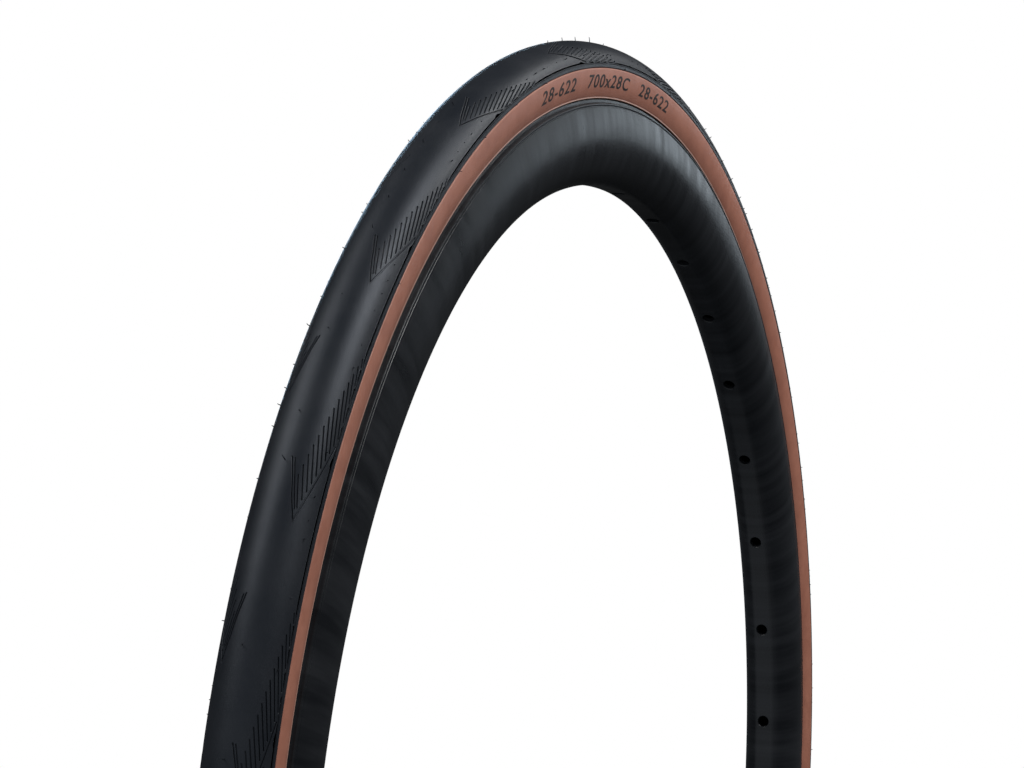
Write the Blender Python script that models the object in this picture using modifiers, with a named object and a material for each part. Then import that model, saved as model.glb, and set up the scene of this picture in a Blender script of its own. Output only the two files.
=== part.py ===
"""A slick 28-622 road bicycle tyre, inflated on its deep hollow rim, with inner tube and valve.

The wheel's centre is the origin and its axle line is Y, so the wheel stands in the XZ plane.
The valve is at the bottom (-Z) and points up towards the hub. Every ring is turned about Y.
Sizes below are in millimetres; a section point is (distance from the middle plane, radius).
"""

import math

import bmesh
import bpy
from mathutils import Matrix, Vector

MM = 0.001
SEGMENTS = 40  # facets of every ring; a multiple of four puts a facet on each axis
CLEARANCE = 0.25  # between two layers that touch on the real tyre

# Tyre section
TYRE_RADIUS = 339.0
TYRE_HALF_WIDTH = 12.7
WIDEST_RADIUS = 327.2
SIDEWALL_FOOT_RADIUS = 315.75
SIDEWALL_FOOT_HALF_WIDTH = 10.5
TREAD_THICKNESS = 2.2
TREAD_EDGE_STATION = 0.96
CROWN_FLAT_STATION = 0.12  # the flat of the crown, where the tyre meets the road
SKIN_TOP_STATION = 1.0
BELT_THICKNESS = 0.6
BELT_EDGE_STATION = 0.6
PLY_THICKNESS = 0.5
SKIN_THICKNESS = 0.8
CHAFER_THICKNESS = 0.45
BEAD_CORE_WIDTH = 1.8
TUBE_WALL = 0.8
TURN_UP_END_STATION = 0.6

# Rim section
BEAD_SEAT_RADIUS = 310.9
WELL_RADIUS = 307.5
WELL_HALF_WIDTH = 4.6
SHELF_START = 5.0
RIM_INNER_HALF_WIDTH = 9.5
FLANGE_HEIGHT = 4.5
FLANGE_THICKNESS = 1.9
RIM_HALF_WIDTH = 13.4
RIM_WIDEST_RADIUS = 299.5
NOSE_RADIUS = 279.5
NOSE_FLAT_HALF_WIDTH = 3.8
NOSE_THICKNESS = 2.4
RIM_WALL = 1.6
SPOKE_HOLES = 36
SPOKE_HOLE_RADIUS = 2.75
ACCESS_HOLE_RADIUS = 3.4
TAPE_THICKNESS = 0.6
TAPE_HALF_WIDTH = 4.3

# Valve, along its own line; heights are measured from the rim's nose towards the hub
STEM_RADIUS = 3.0
STEM_BORE_RADIUS = 2.0
STEM_HEIGHT = 24.0
STEM_FOOT_RADIUS = 3.6
STEM_FOOT_THICKNESS = 1.0
VALVE_HOLE_CLEARANCE = 0.4
BASE_PAD_RADIUS = 4.2
BASE_PAD_THICKNESS = 1.2
LOCK_RING_RADIUS = 4.9
LOCK_RING_THICKNESS = 3.0
LOCK_RING_NOTCHES = 10
CORE_BODY_RADIUS = 1.65
CORE_BORE_RADIUS = 1.0
CORE_DEPTH = 26.0
CORE_COLLAR_RADIUS = 2.7
CORE_COLLAR_HEIGHT = 2.2
CORE_NECK_RADIUS = 2.1
CORE_NECK_HEIGHT = 4.4
GASKET_THICKNESS = 0.5
PIN_RADIUS = 0.7
PIN_ABOVE_NECK = 7.0
PIN_BELOW_CORE = 3.6
PIN_HEAD_RADIUS = 1.3
PIN_HEAD_THICKNESS = 0.9
SEAL_RADIUS = 1.55
SEAL_THICKNESS = 1.5
SEAL_STROKE_GAP = 0.3
NUT_RADIUS = 2.0
NUT_THICKNESS = 2.4
CAP_WALL = 0.8
CAP_OVERLAP = 7.0
CAP_TOP_THICKNESS = 1.6
CAP_HEADROOM = 3.2

COLORS = {
    "tread_rubber": ((0.022, 0.023, 0.026), 0.55, 0.0),
    "bronze_rubber": ((0.235, 0.088, 0.058), 0.6, 0.0),
    "casing_cord": ((0.09, 0.075, 0.06), 0.8, 0.0),
    "belt_weave": ((0.32, 0.30, 0.16), 0.75, 0.0),
    "aramid_cord": ((0.55, 0.42, 0.12), 0.6, 0.0),
    "butyl": ((0.02, 0.02, 0.021), 0.5, 0.0),
    "carbon": ((0.016, 0.017, 0.019), 0.38, 0.0),
    "tape_cloth": ((0.10, 0.16, 0.33), 0.6, 0.0),
    "valve_metal": ((0.55, 0.55, 0.56), 0.3, 1.0),
    "brass": ((0.62, 0.45, 0.18), 0.32, 1.0),
    "cap_plastic": ((0.03, 0.03, 0.032), 0.45, 0.0),
}


def make_material(name):
    color, roughness, metallic = COLORS[name]
    material = bpy.data.materials.get(name) or bpy.data.materials.new(name)
    material.use_nodes = True
    shader = material.node_tree.nodes["Principled BSDF"]
    shader.inputs["Base Color"].default_value = (*color, 1.0)
    shader.inputs["Roughness"].default_value = roughness
    shader.inputs["Metallic"].default_value = metallic
    material.diffuse_color = (*color, 1.0)
    return material


def clear_scene():
    for obj in list(bpy.data.objects):
        bpy.data.objects.remove(obj, do_unlink=True)


def make_collection(name, hidden=False):
    collection = bpy.data.collections.new(name)
    collection.hide_render = hidden
    bpy.context.scene.collection.children.link(collection)
    return collection


def add_object(name, mesh, collection, material=None):
    obj = bpy.data.objects.new(name, mesh)
    collection.objects.link(obj)
    if material:
        mesh.materials.append(make_material(material))
    return obj


# ---- tyre section -------------------------------------------------------------------------


def section_point(station, depth=0.0):
    """Point of the tyre's section: 0 is the crown, 1 the widest place, 2 the sidewall's foot.

    depth goes inwards, square to the outer surface.
    """
    if station <= 1.0:
        angle = station * math.pi / 2
        height = TYRE_RADIUS - WIDEST_RADIUS
        y, r = TYRE_HALF_WIDTH * math.sin(angle), WIDEST_RADIUS + height * math.cos(angle)
        normal = Vector((height * math.sin(angle), TYRE_HALF_WIDTH * math.cos(angle)))
    else:
        share = station - 1.0
        drop = WIDEST_RADIUS - SIDEWALL_FOOT_RADIUS
        inset = TYRE_HALF_WIDTH - SIDEWALL_FOOT_HALF_WIDTH
        y, r = TYRE_HALF_WIDTH - inset * share**2, WIDEST_RADIUS - drop * share
        normal = Vector((drop, -2 * inset * share))
    normal.normalize()
    return (y - depth * normal.x, r - depth * normal.y)


def crown_depth(station):
    """Extra depth of the casing where tread and belt lie over it, fading out at the sidewall."""
    under_tread = TREAD_THICKNESS + CLEARANCE + BELT_THICKNESS - SKIN_THICKNESS
    fade = (1.0 - station) / (1.0 - BELT_EDGE_STATION)
    return under_tread * min(1.0, max(0.0, fade))


def layer_depth(station, layer):
    """Depth of a layer's outer face: 0 the outer ply, 1 the inner ply, 2 the inner tube."""
    step = PLY_THICKNESS + CLEARANCE
    return SKIN_THICKNESS + CLEARANCE + layer * step + crown_depth(station)


def both_sides(half):
    """Closes a half outline, which runs from the crown or top to the bottom, with its mirror."""
    return half + [(-y, r) for y, r in reversed(half)]


def thicken(path, thickness):
    """Closed outline of a strip with this centre line, with mitred corners."""
    points = [Vector(p) for p in path]
    left, right = [], []
    for i, point in enumerate(points):
        before = (point - points[i - 1]).normalized() if i else None
        after = (points[i + 1] - point).normalized() if i + 1 < len(points) else None
        along = ((before or after) + (after or before)).normalized()
        cosine = along.dot(after or before)
        side = Vector((-along.y, along.x)) * (thickness / 2 / cosine)
        left.append(tuple(point + side))
        right.append(tuple(point - side))
    return left + right[::-1]


def tread_outline():
    crown = (section_point(CROWN_FLAT_STATION)[0], TYRE_RADIUS)
    outer = [crown] + [section_point(s) for s in (0.36, 0.6, 0.8, TREAD_EDGE_STATION)]
    edge = TREAD_EDGE_STATION
    past_belt = BELT_EDGE_STATION + 0.06
    inner = [
        section_point(edge, layer_depth(edge, 0) - CLEARANCE),
        section_point(past_belt, layer_depth(past_belt, 0) - CLEARANCE),
        section_point(BELT_EDGE_STATION + 0.03, TREAD_THICKNESS),
        section_point(0.2, TREAD_THICKNESS),
    ]
    return both_sides(outer + inner)


def belt_outline():
    top = TREAD_THICKNESS + CLEARANCE
    outer = [section_point(s, top) for s in (0.2, BELT_EDGE_STATION)]
    inner = [section_point(s, top + BELT_THICKNESS) for s in (BELT_EDGE_STATION, 0.2)]
    return both_sides(outer + inner)


def bead_box():
    """Half widths and radii of the bead core: inner, outer, bottom, top."""
    wall = RIM_INNER_HALF_WIDTH - 3 * CLEARANCE - CHAFER_THICKNESS - PLY_THICKNESS
    bottom = BEAD_SEAT_RADIUS + 3 * CLEARANCE + CHAFER_THICKNESS + PLY_THICKNESS
    return wall - BEAD_CORE_WIDTH, wall, bottom, bottom + BEAD_CORE_WIDTH


def casing_outline():
    """The ply runs from bead to bead, folds round each bead core and comes back up outside."""
    low, high, bottom, top = bead_box()
    reach = CLEARANCE + PLY_THICKNESS / 2
    half_ply = PLY_THICKNESS / 2
    inner = [section_point(s, layer_depth(s, 1) + half_ply) for s in (0.2, 0.6, 1.0, 1.6)]
    fold = [
        (low - reach, top + 1.6),
        (low - reach, bottom - reach),
        (high + reach, bottom - reach),
        (high + reach, top + 0.7),
    ]
    stations = (1.6, 1.0, TURN_UP_END_STATION)
    outer = [section_point(s, layer_depth(s, 0) + half_ply) for s in stations]
    half = inner + fold + outer
    path = [(-y, r) for y, r in reversed(half)] + half
    return thicken(path, PLY_THICKNESS)


def skin_outline():
    outer = [section_point(s) for s in (SKIN_TOP_STATION, 1.35, 1.7, 2.0)]
    foot_inner = SIDEWALL_FOOT_HALF_WIDTH - 1.5 * SKIN_THICKNESS
    inner = [section_point(s, SKIN_THICKNESS) for s in (1.6, SKIN_TOP_STATION)]
    return outer + [(foot_inner, SIDEWALL_FOOT_RADIUS)] + inner


def core_outline():
    low, high, bottom, top = bead_box()
    center = Vector(((low + high) / 2, (bottom + top) / 2))
    corners = []
    for i in range(6):
        angle = math.radians(60 * i)
        corners.append(tuple(center + BEAD_CORE_WIDTH / 2 * Vector((math.cos(angle), math.sin(angle)))))
    return corners


def chafer_outline():
    low, _, _, top = bead_box()
    outside = RIM_INNER_HALF_WIDTH - CLEARANCE
    under = BEAD_SEAT_RADIUS + CLEARANCE
    toe = low - CLEARANCE
    return [
        (outside, top + 0.7),
        (outside, under),
        (toe, under),
        (toe, under + CHAFER_THICKNESS),
        (outside - CHAFER_THICKNESS, under + CHAFER_THICKNESS),
        (outside - CHAFER_THICKNESS, top + 0.7),
    ]


def tube_outlines():
    """Outer and inner loop of the inflated inner tube, with its neck between the two beads."""
    low, _, _, top = bead_box()
    neck = low - 2 * CLEARANCE - PLY_THICKNESS - CLEARANCE
    floor = WELL_RADIUS + 3 * CLEARANCE + TAPE_THICKNESS + BASE_PAD_THICKNESS
    outer = [section_point(s, layer_depth(s, 2)) for s in (0.2, 0.6, 1.0, 1.6)]
    outer += [(neck, top + 1.8), (neck, floor + 1.2), (neck - 0.4, floor)]
    wall = TUBE_WALL
    inner = [section_point(s, layer_depth(s, 2) + wall) for s in (0.2, 0.6, 1.0, 1.6)]
    inner += [(neck - wall, top + 1.4), (neck - wall, floor + wall)]
    return both_sides(outer), both_sides(inner)


def tape_outline():
    low = WELL_RADIUS + CLEARANCE
    return both_sides([(TAPE_HALF_WIDTH, low + TAPE_THICKNESS), (TAPE_HALF_WIDTH, low)])


# ---- rim section --------------------------------------------------------------------------


def nose_arc(half_width, nose_radius, steps):
    """Elliptical flank from the widest place round to the flat of the nose."""
    flat = math.asin(NOSE_FLAT_HALF_WIDTH / half_width)
    height = (RIM_WIDEST_RADIUS - nose_radius) / math.cos(flat)
    points = []
    for i in range(steps + 1):
        angle = math.pi / 2 + (flat - math.pi / 2) * i / steps
        points.append(
            (half_width * math.sin(angle), RIM_WIDEST_RADIUS - height * math.cos(angle))
        )
    return points


def rim_outlines():
    """Outer loop of the rim's section, and the loop of its hollow chamber."""
    lip = RIM_INNER_HALF_WIDTH + FLANGE_THICKNESS
    top = BEAD_SEAT_RADIUS + FLANGE_HEIGHT
    outer = [
        (WELL_HALF_WIDTH, WELL_RADIUS),
        (SHELF_START, BEAD_SEAT_RADIUS),
        (RIM_INNER_HALF_WIDTH, BEAD_SEAT_RADIUS),
        (RIM_INNER_HALF_WIDTH, top - 1.0),
        (RIM_INNER_HALF_WIDTH + 0.8, top),
        (lip - 0.2, top - 0.8),
        (lip + 0.1, top - 3.2),
        (RIM_HALF_WIDTH - 0.5, RIM_WIDEST_RADIUS + 6.5),
    ]
    outer += nose_arc(RIM_HALF_WIDTH, NOSE_RADIUS, 5)
    chamber_top = BEAD_SEAT_RADIUS - RIM_WALL
    chamber = [
        (WELL_HALF_WIDTH + RIM_WALL, WELL_RADIUS - RIM_WALL),
        (SHELF_START + RIM_WALL, chamber_top),
        (lip + 0.1 - 1.2 * RIM_WALL, chamber_top),
        (RIM_HALF_WIDTH - 0.5 - RIM_WALL, RIM_WIDEST_RADIUS + 6.5),
    ]
    chamber += nose_arc(RIM_HALF_WIDTH - RIM_WALL, NOSE_RADIUS + NOSE_THICKNESS, 4)
    return both_sides(outer), both_sides(chamber)


# ---- solids -------------------------------------------------------------------------------


def signed_area(outline):
    ends = outline[1:] + outline[:1]
    return sum(a[0] * b[1] - b[0] * a[1] for a, b in zip(outline, ends)) / 2


def turned_mesh(name, loops):
    """Mesh of section loops lying at +X, ready for a Screw; the first loop is the outside."""
    bm = bmesh.new()
    half_step = Matrix.Rotation(math.pi / SEGMENTS, 3, "Y")
    stretch = 1 / math.cos(math.pi / SEGMENTS)
    for index, outline in enumerate(loops):
        clockwise = signed_area(outline) < 0
        if clockwise != (index > 0):
            outline = outline[::-1]
        verts = [bm.verts.new(half_step @ Vector((r * stretch, y, 0)) * MM) for y, r in outline]
        for a, b in zip(verts, verts[1:] + verts[:1]):
            bm.edges.new((a, b))
    mesh = bpy.data.meshes.new(name)
    bm.to_mesh(mesh)
    bm.free()
    return mesh


def add_ring(name, loops, collection, material):
    """A ring turned about the wheel's axle."""
    obj = add_object(name, turned_mesh(name, loops), collection, material)
    screw = obj.modifiers.new("turn", "SCREW")
    screw.axis = "Y"
    screw.angle = 2 * math.pi
    screw.steps = screw.render_steps = SEGMENTS
    screw.use_merge_vertices = True
    screw.merge_threshold = 0.00001
    screw.use_smooth_shade = False
    return obj


def add_cut(obj, cutter):
    cut = obj.modifiers.new("cut " + cutter.name, "BOOLEAN")
    cut.operation = "DIFFERENCE"
    cut.solver = "EXACT"
    cut.object = cutter


def cylinders(name, collection, radius, span, angles, sides):
    """One cutter of radial pegs: span is their inner and outer radius, angles start at -Z."""
    bm = bmesh.new()
    low, high = span
    for angle in angles:
        turn = Matrix.Rotation(angle, 4, "Y")
        place = Matrix.Translation((0, 0, -(low + high) / 2 * MM))
        bmesh.ops.create_cone(
            bm,
            cap_ends=True,
            segments=sides,
            radius1=radius * MM,
            radius2=radius * MM,
            depth=(high - low) * MM,
            matrix=turn @ place,
        )
    mesh = bpy.data.meshes.new(name)
    bm.to_mesh(mesh)
    bm.free()
    cutter = add_object(name, mesh, collection)
    cutter.hide_render = True
    cutter.display_type = "WIRE"
    return cutter


def add_turned(name, outline, collection, material, steps):
    """A small piece turned about the valve's line; outline is (radius, height above the nose)."""
    bm = bmesh.new()
    if signed_area(outline) > 0:
        outline = outline[::-1]
    verts = [bm.verts.new(Vector((r, 0, h)) * MM) for r, h in outline]
    ends = verts[1:] + verts[:1] if outline[0][0] > 0 or outline[-1][0] > 0 else verts[1:]
    for a, b in zip(verts, ends):
        bm.edges.new((a, b))
    mesh = bpy.data.meshes.new(name)
    bm.to_mesh(mesh)
    bm.free()
    obj = add_object(name, mesh, collection, material)
    obj.location.z = -NOSE_RADIUS * MM
    screw = obj.modifiers.new("turn", "SCREW")
    screw.axis = "Z"
    screw.angle = 2 * math.pi
    screw.steps = screw.render_steps = steps
    screw.use_merge_vertices = True
    screw.merge_threshold = 0.00001
    screw.use_smooth_shade = False
    return obj


def washer(inner, outer, low, high):
    return [(inner, low), (outer, low), (outer, high), (inner, high)]


def make_tyre(parts):
    add_ring("tread_cap", [tread_outline()], parts, "tread_rubber")
    add_ring("puncture_belt", [belt_outline()], parts, "belt_weave")
    add_ring("casing", [casing_outline()], parts, "casing_cord")
    for side, sign in (("left", -1), ("right", 1)):
        skin = [(sign * y, r) for y, r in skin_outline()]
        core = [(sign * y, r) for y, r in core_outline()]
        chafer = [(sign * y, r) for y, r in chafer_outline()]
        add_ring("sidewall_" + side, [skin], parts, "bronze_rubber")
        add_ring("bead_core_" + side, [core], parts, "aramid_cord")
        add_ring("chafer_" + side, [chafer], parts, "casing_cord")


def make_rim_and_tube(parts, cutters):
    hole = STEM_RADIUS + VALVE_HOLE_CLEARANCE
    rim = add_ring("rim", list(rim_outlines()), parts, "carbon")
    tape = add_ring("rim_tape", [tape_outline()], parts, "tape_cloth")
    tube = add_ring("inner_tube", list(tube_outlines()), parts, "butyl")
    pitch = 2 * math.pi / SPOKE_HOLES
    angles = [(i + 0.5) * pitch for i in range(SPOKE_HOLES)]
    chamber = (NOSE_RADIUS + WELL_RADIUS) / 2
    nose = (NOSE_RADIUS - 4, chamber)
    bed = (chamber + 2, BEAD_SEAT_RADIUS + 6)
    add_cut(rim, cylinders("spoke_holes", cutters, SPOKE_HOLE_RADIUS, nose, angles, 8))
    add_cut(rim, cylinders("access_holes", cutters, ACCESS_HOLE_RADIUS, bed, angles, 6))
    through = (NOSE_RADIUS - 4, BEAD_SEAT_RADIUS + 4)
    valve_hole = cylinders("valve_hole", cutters, hole, through, [0.0], 16)
    for piece in (rim, tape, tube):
        add_cut(piece, valve_hole)


def make_valve(parts):
    """Heights below count from the rim's nose; negative ones lie inside the rim."""
    floor = WELL_RADIUS + 3 * CLEARANCE + TAPE_THICKNESS + BASE_PAD_THICKNESS
    pad_top = NOSE_RADIUS - (floor - CLEARANCE)
    foot_top = NOSE_RADIUS - (floor + TUBE_WALL + CLEARANCE)
    foot_bottom = foot_top - STEM_FOOT_THICKNESS
    hole = STEM_RADIUS + VALVE_HOLE_CLEARANCE - 0.1
    add_turned(
        "valve_base",
        washer(hole, BASE_PAD_RADIUS, pad_top, pad_top + BASE_PAD_THICKNESS),
        parts, "butyl", 16,
    )
    stem = [
        (STEM_BORE_RADIUS, foot_bottom),
        (STEM_FOOT_RADIUS, foot_bottom),
        (STEM_FOOT_RADIUS, foot_top),
        (STEM_RADIUS, foot_top),
        (STEM_RADIUS, STEM_HEIGHT - 0.5),
        (STEM_RADIUS - 0.5, STEM_HEIGHT),
        (STEM_BORE_RADIUS, STEM_HEIGHT),
    ]
    add_turned("valve_stem", stem, parts, "valve_metal", 16)
    make_lock_ring(parts)
    make_core(parts)


def make_lock_ring(parts):
    low = CLEARANCE
    outline = washer(STEM_RADIUS + 0.3, LOCK_RING_RADIUS, low, low + LOCK_RING_THICKNESS)
    add_turned("valve_lock_ring", outline, parts, "valve_metal", 2 * LOCK_RING_NOTCHES)


def make_core(parts):
    gasket = STEM_HEIGHT + CLEARANCE
    collar = gasket + GASKET_THICKNESS + CLEARANCE
    neck = collar + CORE_COLLAR_HEIGHT
    tip = neck + CORE_NECK_HEIGHT
    core_end = STEM_HEIGHT - CORE_DEPTH
    body = [
        (CORE_BORE_RADIUS, core_end),
        (CORE_BODY_RADIUS, core_end),
        (CORE_BODY_RADIUS, collar),
        (CORE_COLLAR_RADIUS, collar),
        (CORE_COLLAR_RADIUS, neck),
        (CORE_NECK_RADIUS, neck),
        (CORE_NECK_RADIUS, tip),
        (CORE_BORE_RADIUS, tip),
    ]
    add_turned("valve_core_body", body, parts, "brass", 12)
    ring = washer(CORE_BODY_RADIUS + 0.2, CORE_COLLAR_RADIUS, gasket, gasket + GASKET_THICKNESS)
    add_turned("valve_core_gasket", ring, parts, "butyl", 12)

    seal_top = core_end - SEAL_STROKE_GAP
    seal_bottom = seal_top - SEAL_THICKNESS
    seal = [
        (PIN_RADIUS + 0.2, seal_bottom),
        (SEAL_RADIUS, seal_bottom),
        (SEAL_RADIUS, seal_top - 0.5),
        (SEAL_RADIUS - 0.4, seal_top),
        (PIN_RADIUS + 0.2, seal_top),
    ]
    add_turned("valve_core_seal", seal, parts, "butyl", 12)
    head_top = seal_bottom - CLEARANCE
    pin = [
        (0.0, head_top - PIN_HEAD_THICKNESS),
        (PIN_HEAD_RADIUS, head_top - PIN_HEAD_THICKNESS),
        (PIN_HEAD_RADIUS, head_top),
        (PIN_RADIUS, head_top),
        (PIN_RADIUS, tip + PIN_ABOVE_NECK - 0.3),
        (PIN_RADIUS - 0.3, tip + PIN_ABOVE_NECK),
        (0.0, tip + PIN_ABOVE_NECK),
    ]
    add_turned("valve_core_pin", pin, parts, "brass", 10)
    nut = washer(PIN_RADIUS + 0.25, NUT_RADIUS, tip + CLEARANCE, tip + CLEARANCE + NUT_THICKNESS)
    add_turned("valve_core_nut", nut, parts, "brass", 12)

    bore = STEM_RADIUS + 0.3
    top = tip + PIN_ABOVE_NECK + CAP_HEADROOM
    foot = STEM_HEIGHT - CAP_OVERLAP
    cap = [
        (bore, foot),
        (bore + CAP_WALL, foot),
        (bore + CAP_WALL, top - 3.0),
        (bore - 0.8, top + CAP_TOP_THICKNESS),
        (0.0, top + CAP_TOP_THICKNESS),
        (0.0, top),
        (bore - 1.0, top),
        (bore, top - 3.0),
    ]
    add_turned("valve_cap", cap, parts, "cap_plastic", 16)


def main():
    clear_scene()
    parts = make_collection("bicycle_tyre")
    cutters = make_collection("cutters", hidden=True)
    make_tyre(parts)
    make_rim_and_tube(parts, cutters)
    make_valve(parts)


main()
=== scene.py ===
"""Looks of a road bicycle tyre on its deep black rim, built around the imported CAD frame.

Lengths are in millimetres until a shape is finished. The wheel's axle is Y. An angle round the
wheel is measured from +X towards +Z, and a section point is (distance from the middle plane,
radius). On the tread, v is the distance along the section from the crown, and u the distance
round the wheel from a groove group's apex.
"""

import math
import random

import bmesh
import bpy
import numpy as np
from mathutils import Matrix, Vector
from mathutils.geometry import delaunay_2d_cdt


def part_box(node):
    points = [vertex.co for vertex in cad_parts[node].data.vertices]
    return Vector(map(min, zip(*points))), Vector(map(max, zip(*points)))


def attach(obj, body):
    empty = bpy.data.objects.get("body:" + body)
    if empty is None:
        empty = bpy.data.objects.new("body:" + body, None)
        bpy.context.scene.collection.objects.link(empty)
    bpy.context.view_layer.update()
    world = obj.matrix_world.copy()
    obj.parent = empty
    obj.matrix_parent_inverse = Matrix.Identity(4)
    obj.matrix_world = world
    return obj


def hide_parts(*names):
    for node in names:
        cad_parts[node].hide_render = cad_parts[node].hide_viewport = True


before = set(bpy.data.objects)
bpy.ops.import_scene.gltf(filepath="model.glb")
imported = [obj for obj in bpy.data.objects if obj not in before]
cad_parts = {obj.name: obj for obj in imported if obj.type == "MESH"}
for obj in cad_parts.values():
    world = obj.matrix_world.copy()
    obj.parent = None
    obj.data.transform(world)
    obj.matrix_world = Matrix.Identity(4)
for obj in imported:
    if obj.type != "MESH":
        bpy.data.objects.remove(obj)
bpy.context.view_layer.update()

MM = 0.001
RNG = random.Random(28)

# ---- sizes shared with the CAD model ----

TYRE_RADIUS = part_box("tread_cap")[1].x / MM
TYRE_HALF_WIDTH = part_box("sidewall_right")[1].y / MM
NOSE_RADIUS = 279.5
RIM_HALF_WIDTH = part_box("rim")[1].y / MM
CLEARANCE = 0.25
WIDEST_RADIUS = 327.2
FOOT_RADIUS = 315.75
FOOT_HALF_WIDTH = 10.5
TREAD_THICKNESS = 2.2
BELT_THICKNESS = 0.6
BELT_EDGE = 0.6
PLY_THICKNESS = 0.5
SKIN_THICKNESS = 0.8
CHAFER_THICKNESS = 0.45
BEAD_CORE_WIDTH = 1.8
TUBE_WALL = 0.8
BEAD_SEAT_RADIUS = 310.9
WELL_RADIUS = 307.5
WELL_HALF_WIDTH = 4.6
RIM_INNER_HALF_WIDTH = 9.5
RIM_WIDEST_RADIUS = 299.5
NOSE_FLAT = 3.8
NOSE_THICKNESS = 2.4
RIM_WALL = 1.6
TAPE_THICKNESS = 0.6
SPOKE_HOLES = 36
SPOKE_HOLE_RADIUS = 2.75
ACCESS_HOLE_RADIUS = 3.4
VALVE_HOLE_RADIUS = 3.4
VALVE_ANGLE = 270.0

# ---- sizes of the looks ----

GROUPS = 22
COLUMNS = 24  # of one group
RING_COLUMNS = GROUPS * COLUMNS
PITCH = 2 * math.pi * TYRE_RADIUS / GROUPS
APEX_ANGLE = 163.85
LEAD = 10.0  # room in a tile before the apex
PATTERN_TOP = 16.6
TREAD_EDGE = 18.6
HAIR_SHARE = 0.62  # of the moulding hairs that are left
PARTING_LINE = 17.0
FOOT_DROP = 0.5  # how far the skin's rolled edge hangs below the CAD foot
HAIR_ROWS = ((13.0, 252, 0.5), (16.2, 44, 0.3), (18.3, 66, 0.7))  # (v, number, start in steps)
GROOVE_HALF = 0.21
GROOVE_LIP = 0.12
GROOVE_LIP_DROP = 0.10
GROOVE_DEPTH = 0.5
RIM_COLUMNS = 16  # of one spoke pitch
NOSE_STRIP = 5.6
BED_STRIP = 4.2
STEM_COLUMNS = 28  # round the valve's stem
NOSE_TURN = math.asin(NOSE_FLAT / RIM_HALF_WIDTH)  # where the flank's arc leaves the nose's flat
FLANK_DRAW = 1.42  # how far the rim's brake band leans in over its height
FLANK_RISE = 12.2
PRINT_TEXT = "28-622   700x28C   28-622"
PRINT_SIZE = 7.56  # of the font; its capitals are 5.6 high
PRINT_STRETCH = 1.6
PRINT_DROP = 5.1  # below the widest place, along the sidewall
PRINT_RISE = 0.07
PRINT_ROOT = 0.1
PRINT_ANGLES = (104.9, 284.9)
CAMERA_TURN = (68.319, 9.281, 5.612)  # yaw, pitch and roll in degrees
CAMERA_PLACE = (-1.127643, -0.398009, -0.000633)
CAMERA_LENS = 97.676
SENSOR_WIDTH = 36.0
FLOOR_HALF_SIZE = 1.1
FLOOR_GAP = 0.0005


# ---- section curves ----


def tyre_point(station, depth=0.0):
    """Point of the tyre's section: 0 is the crown, 1 the widest place, 2 the sidewall's foot."""
    if station <= 1.0:
        angle = station * math.pi / 2
        height = TYRE_RADIUS - WIDEST_RADIUS
        y = TYRE_HALF_WIDTH * math.sin(angle)
        r = WIDEST_RADIUS + height * math.cos(angle)
        normal = (height * math.sin(angle), TYRE_HALF_WIDTH * math.cos(angle))
    else:
        share = station - 1.0
        drop = WIDEST_RADIUS - FOOT_RADIUS
        inset = TYRE_HALF_WIDTH - FOOT_HALF_WIDTH
        y = TYRE_HALF_WIDTH - inset * share**2
        r = WIDEST_RADIUS - drop * share
        normal = (drop, -2 * inset * share)
    size = math.hypot(*normal)
    return (y - depth * normal[0] / size, r - depth * normal[1] / size)


def layer_depth(station, layer):
    """Depth of a layer's outer face: 0 the outer ply, 1 the inner ply, 2 the inner tube."""
    under_tread = TREAD_THICKNESS + CLEARANCE + BELT_THICKNESS - SKIN_THICKNESS
    fade = min(1.0, max(0.0, (1.0 - station) / (1.0 - BELT_EDGE)))
    return SKIN_THICKNESS + CLEARANCE + layer * (PLY_THICKNESS + CLEARANCE) + under_tread * fade


class Section:
    """A section curve by length along it, with its outward normal on the left of its run."""

    def __init__(self, points):
        self.points = np.array(points, float)
        steps = np.hypot(*np.diff(self.points, axis=0).T)
        self.length = np.concatenate([[0.0], np.cumsum(steps)])
        along = np.gradient(self.points, self.length, axis=0)
        normals = np.stack([-along[:, 1], along[:, 0]], axis=1)
        self.normals = normals / np.linalg.norm(normals, axis=1, keepdims=True)

    def found(self, values, v):
        """Values at lengths from the start; a negative length gives the mirror image."""
        v = np.asarray(v, float)
        made = [np.interp(np.abs(v), self.length, values[:, i]) for i in (0, 1)]
        made[0] = made[0] * np.where(v < 0, -1, 1)
        return np.stack(made, axis=-1)

    def normal(self, v):
        made = self.found(self.normals, v)
        return made / np.hypot(made[..., 0], made[..., 1])[..., None]

    def at(self, v, depth=0.0):
        return self.found(self.points, v) - np.asarray(depth)[..., None] * self.normal(v)


STEPS = 400  # of the section, from one station to the next
TYRE = Section([tyre_point(i / STEPS) for i in range(2 * STEPS + 21)])
STATIONS = np.arange(101) / 50


def length_at(station):
    return float(np.interp(station, STATIONS, TYRE.length[: 2 * STEPS + 1 : STEPS // 50]))


def rounded(points, radius, steps=4, closed=True):
    """The outline with its corners turned into arcs of about that radius."""
    made = []
    count = len(points)
    for i, point in enumerate(points):
        p = Vector(point[:2])
        size = point[2] if len(point) > 2 else radius
        if (not closed and i in (0, count - 1)) or size == 0:
            made.append(tuple(p))
            continue
        a = Vector(points[i - 1][:2]) - p
        b = Vector(points[(i + 1) % count][:2]) - p
        half = a.angle(b) / 2
        if half > math.radians(88):
            made.append(tuple(p))
            continue
        cut = min(size / math.tan(half), 0.45 * a.length, 0.45 * b.length)
        start, end = p + a.normalized() * cut, p + b.normalized() * cut
        for k in range(steps + 1):
            t = k / steps
            made.append(tuple((1 - t) ** 2 * start + 2 * t * (1 - t) * p + t * t * end))
    return made


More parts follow.
